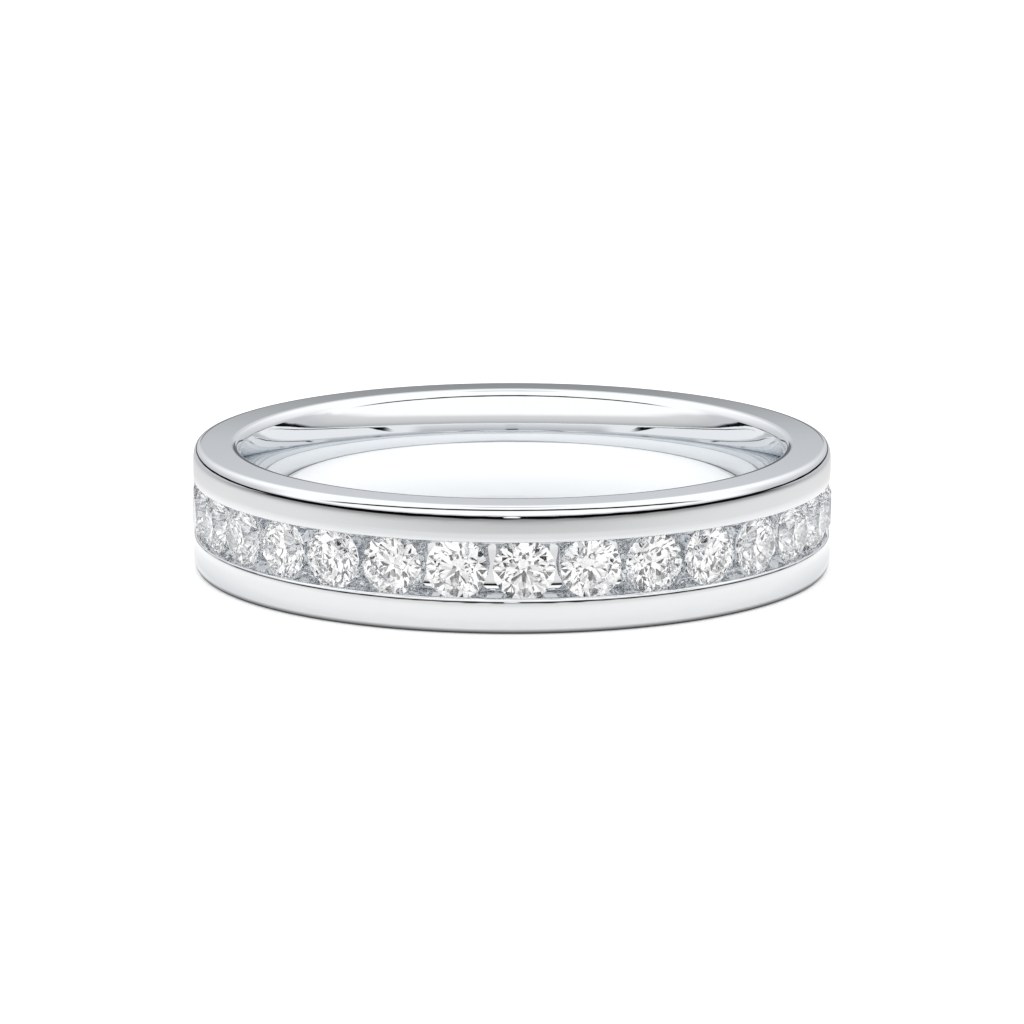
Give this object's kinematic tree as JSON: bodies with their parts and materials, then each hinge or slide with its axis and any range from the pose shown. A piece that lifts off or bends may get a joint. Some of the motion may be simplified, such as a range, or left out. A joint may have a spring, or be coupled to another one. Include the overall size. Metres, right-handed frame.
{
  "type": "channel set band",
  "caption": "Channel set ring: a row of round brilliants held between two polished rails over the front half, with a plain back and a comfort-fit inside, lying on its side.",
  "frame": {"origin": "middle of the ring's lower face, on the surface that it lies on", "axes": "+Z along the finger's axis, up; -Y towards the middle stone of the row"},
  "size_m": [0.02, 0.02, 0.0039],
  "materials": {
    "white_gold": "18 ct white gold, rhodium plated and mirror polished",
    "diamond": "clear, colourless, faceted and polished"
  },
  "bodies": {
    "root": {"band": "white_gold", "stone_01": "diamond", "stone_02": "diamond", "stone_03": "diamond", "stone_04": "diamond", "stone_05": "diamond", "stone_06": "diamond", "stone_07": "diamond", "stone_08": "diamond", "stone_09": "diamond", "stone_10": "diamond", "stone_11": "diamond", "stone_12": "diamond", "stone_13": "diamond", "stone_14": "diamond", "stone_15": "diamond"}
  },
  "joints": []
}
